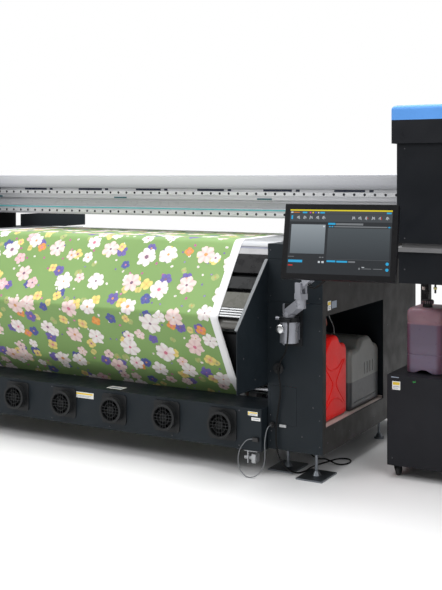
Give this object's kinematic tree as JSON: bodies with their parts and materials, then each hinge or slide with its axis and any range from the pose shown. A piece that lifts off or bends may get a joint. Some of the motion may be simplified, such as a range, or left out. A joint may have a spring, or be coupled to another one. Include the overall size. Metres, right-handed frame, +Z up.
{
  "type": "wide-format textile printer",
  "caption": "Wide-format roll printer: gantry beam and carriage over a print bed, sloping dryer front with printed cloth, fan box, service cabinet, ink cart and touch screen.",
  "frame": {"origin": "on the floor under the middle of the machine", "axes": "+X to the operator's right along the gantry, +Y into the machine from the operator's side, +Z up"},
  "size_m": [4.44, 2.1029, 1.845],
  "materials": {
    "frame_steel": "satin black powder coat",
    "foot_steel": "dark galvanised steel",
    "beam_aluminium": "brushed and clear anodised",
    "rail_steel": "ground steel with dark screws",
    "beam_grey": "smooth light grey",
    "beam_insert": "dark slots, teal scale and silver clips",
    "bed_grey": "bead blasted",
    "dryer_black": "glossy heat-proof black to grey beige",
    "dryer_dark": "matt black",
    "rib_silver": "polished extrusion",
    "panel_black": "fine-textured blue-black powder coat",
    "roller_steel": "polished roller",
    "printed_cloth": "printed polyester, woven",
    "plain_cloth": "white polyester on a steel core",
    "fan_black": "moulded black",
    "tray_white": "stained white plastic",
    "can_red": "glossy moulded polyethylene",
    "can_grey": "translucent polyethylene",
    "shell_black": "fine-textured black",
    "tray_grey": "satin light grey",
    "lid_blue": "black band under a satin blue top",
    "button_red": "glossy",
    "head_metal": "machined",
    "cap_grey": "moulded",
    "caster_black": "moulded nylon",
    "wheel_rubber": "matt",
    "ink_magenta": "translucent polyethylene full of ink",
    "ink_other": "translucent polyethylene full of ink",
    "screen_black": "black bezel, lit display",
    "arm_silver": "silver paint on cast aluminium",
    "fitting_black": "moulded and plated",
    "lead_black": "soft PVC",
    "lead_grey": "grey PVC"
  },
  "bodies": {
    "machine": {"base_frame": "frame_steel", "levelling_feet": "foot_steel", "gantry_beam": "beam_aluminium", "linear_rails": "rail_steel", "beam_cover": "beam_grey", "beam_inserts": "beam_insert", "print_bed": "bed_grey", "dryer_panels": "dryer_black", "dryer_frame": "dryer_dark", "nose_ribs": "rib_silver", "side_plates": "panel_black", "bearing_arms": "frame_steel", "cloth_web": "printed_cloth", "blower_box": "panel_black", "fan_housings": "fan_black", "cabinet_shell": "panel_black", "cabinet_side_panels": "panel_black", "cabinet_front_covers": "panel_black", "drip_tray": "tray_white", "head_station_shell": "shell_black", "head_station_tray": "tray_grey", "left_station_shell": "shell_black", "left_cabinet": "panel_black", "arm_mount": "arm_silver", "cable_fittings": "fitting_black", "arm_lead": "lead_black", "blower_lead": "lead_grey"},
    "carriage": {"carriage_shell": "shell_black", "print_heads": "head_metal"},
    "capping": {"capping_tray": "cap_grey"},
    "head_lid": {"head_station_lid": "lid_blue"},
    "left_lid": {"left_station_lid": "lid_blue"},
    "stop": {"stop_button": "button_red"},
    "dancer": {"dancer_roller": "roller_steel"},
    "rear": {"rear_roller": "roller_steel"},
    "takeup": {"takeup_roll": "printed_cloth"},
    "supply": {"supply_roll": "plain_cloth"},
    "red_waste_can": {"red_can": "can_red"},
    "grey_waste_can": {"grey_can": "can_grey"},
    "cart": {"ink_cart": "panel_black", "ink_bottles": "ink_other"},
    "magenta": {"magenta_bottle": "ink_magenta"},
    "fork_1": {"caster_fork_1": "caster_black"},
    "fork_2": {"caster_fork_2": "caster_black"},
    "wheel_1": {"caster_wheel_1": "wheel_rubber"},
    "wheel_2": {"caster_wheel_2": "wheel_rubber"},
    "rear_wheels": {"cart_rear_wheels": "wheel_rubber"},
    "lower_arm": {"arm_lower_link": "arm_silver"},
    "elbow": {"arm_elbow_block": "arm_silver"},
    "upper_arm": {"arm_upper_link": "arm_silver", "arm_cable_1": "lead_black", "arm_cable_2": "lead_black"},
    "yoke": {"screen_yoke": "arm_silver"},
    "tilt_head": {"screen_tilt_head": "arm_silver"},
    "screen": {"screen_case": "screen_black"},
    "rotor_1": {"fan_rotor_1": "fan_black"},
    "rotor_2": {"fan_rotor_2": "fan_black"},
    "rotor_3": {"fan_rotor_3": "fan_black"},
    "rotor_4": {"fan_rotor_4": "fan_black"},
    "rotor_5": {"fan_rotor_5": "fan_black"}
  },
  "joints": [
    {"name": "carriage_travel", "type": "slide", "parent": "machine", "child": "carriage", "axis": [1, 0, 0], "range_m": [-3.4, 0]},
    {"name": "capping_lift", "type": "slide", "parent": "machine", "child": "capping", "axis": [0, 0, 1], "range_m": [-0.03, 0]},
    {"name": "head_lid_hinge", "type": "hinge", "parent": "machine", "child": "head_lid", "pos_m": [1.69, 0.409, 1.66], "axis": [-1, 0, 0], "range_deg": [0, 60]},
    {"name": "left_lid_hinge", "type": "hinge", "parent": "machine", "child": "left_lid", "pos_m": [-2.11, 0.189, 1.66], "axis": [-1, 0, 0], "range_deg": [0, 60]},
    {"name": "arm_swivel", "type": "hinge", "parent": "machine", "child": "lower_arm", "pos_m": [0.677, -0.7, 0.79], "axis": [0, 0, 1], "range_deg": [-35, 5]},
    {"name": "elbow_swivel", "type": "hinge", "parent": "lower_arm", "child": "elbow", "pos_m": [0.765, -0.752, 0.9], "axis": [0, 0, 1], "range_deg": [-45, 10]},
    {"name": "arm_lift", "type": "hinge", "parent": "elbow", "child": "upper_arm", "pos_m": [0.765, -0.752, 0.967], "axis": [-0.4255, -0.905, 0], "range_deg": [-30, 20]},
    {"name": "yoke_level", "type": "hinge", "parent": "upper_arm", "child": "yoke", "pos_m": [1.016, -0.87, 1.15], "axis": [-0.4255, -0.905, 0], "range_deg": [-20, 30]},
    {"name": "screen_pan", "type": "hinge", "parent": "yoke", "child": "tilt_head", "pos_m": [1.06353, -0.87467, 1.17], "axis": [0, 0, 1], "range_deg": [-40, 25]},
    {"name": "screen_tilt", "type": "hinge", "parent": "tilt_head", "child": "screen", "pos_m": [1.04905, -0.91085, 1.18819], "axis": [0.9877, 0.1564, 0], "range_deg": [-10, 20]},
    {"name": "stop_press", "type": "slide", "parent": "machine", "child": "stop", "axis": [0, 1, 0], "range_m": [0, 0.005], "stiffness_N_per_m": 800},
    {"name": "dancer_spin", "type": "hinge", "parent": "machine", "child": "dancer", "pos_m": [-0.57, -0.38, 0.362], "axis": [1, 0, 0], "continuous": true},
    {"name": "rear_roller_spin", "type": "hinge", "parent": "machine", "child": "rear", "pos_m": [-0.57, 0.215, 1.133], "axis": [1, 0, 0], "continuous": true},
    {"name": "takeup_spin", "type": "hinge", "parent": "machine", "child": "takeup", "pos_m": [-0.57, -0.236, 0.267], "axis": [1, 0, 0], "continuous": true},
    {"name": "supply_spin", "type": "hinge", "parent": "machine", "child": "supply", "pos_m": [-0.57, 0.912, 0.42], "axis": [1, 0, 0], "continuous": true},
    {"name": "red_can_pull", "type": "slide", "parent": "machine", "child": "red_waste_can", "axis": [1, 0, 0], "range_m": [0, 0.24]},
    {"name": "grey_can_pull", "type": "slide", "parent": "machine", "child": "grey_waste_can", "axis": [1, 0, 0], "range_m": [0, 0.24]},
    {"name": "cart_roll_out", "type": "slide", "parent": "machine", "child": "cart", "axis": [0, -1, 0], "range_m": [0, 0.3]},
    {"name": "magenta_pull", "type": "slide", "parent": "cart", "child": "magenta", "axis": [0, -1, 0], "range_m": [0, 0.34]},
    {"name": "caster_1_swivel", "type": "hinge", "parent": "cart", "child": "fork_1", "pos_m": [1.112, -0.355, 0.06], "axis": [0, 0, 1], "continuous": true},
    {"name": "caster_2_swivel", "type": "hinge", "parent": "cart", "child": "fork_2", "pos_m": [2.072, -0.355, 0.06], "axis": [0, 0, 1], "continuous": true},
    {"name": "caster_1_roll", "type": "hinge", "parent": "fork_1", "child": "wheel_1", "pos_m": [1.112, -0.337, 0.027], "axis": [1, 0, 0], "continuous": true},
    {"name": "caster_2_roll", "type": "hinge", "parent": "fork_2", "child": "wheel_2", "pos_m": [2.072, -0.337, 0.027], "axis": [1, 0, 0], "continuous": true},
    {"name": "rear_wheels_roll", "type": "hinge", "parent": "cart", "child": "rear_wheels", "pos_m": [1.592, -0.085, 0.027], "axis": [1, 0, 0], "continuous": true},
    {"name": "fan_1_spin", "type": "hinge", "parent": "machine", "child": "rotor_1", "pos_m": [0.306, -0.72, 0.24], "axis": [0, 1, 0], "continuous": true},
    {"name": "fan_2_spin", "type": "hinge", "parent": "machine", "child": "rotor_2", "pos_m": [-0.032, -0.72, 0.24], "axis": [0, 1, 0], "continuous": true},
    {"name": "fan_3_spin", "type": "hinge", "parent": "machine", "child": "rotor_3", "pos_m": [-0.37, -0.72, 0.24], "axis": [0, 1, 0], "continuous": true},
    {"name": "fan_4_spin", "type": "hinge", "parent": "machine", "child": "rotor_4", "pos_m": [-0.708, -0.72, 0.24], "axis": [0, 1, 0], "continuous": true},
    {"name": "fan_5_spin", "type": "hinge", "parent": "machine", "child": "rotor_5", "pos_m": [-1.046, -0.72, 0.24], "axis": [0, 1, 0], "continuous": true}
  ],
  "couplings": [
    {"joint": "yoke_level", "follows": "arm_lift", "ratio": -1}
  ]
}
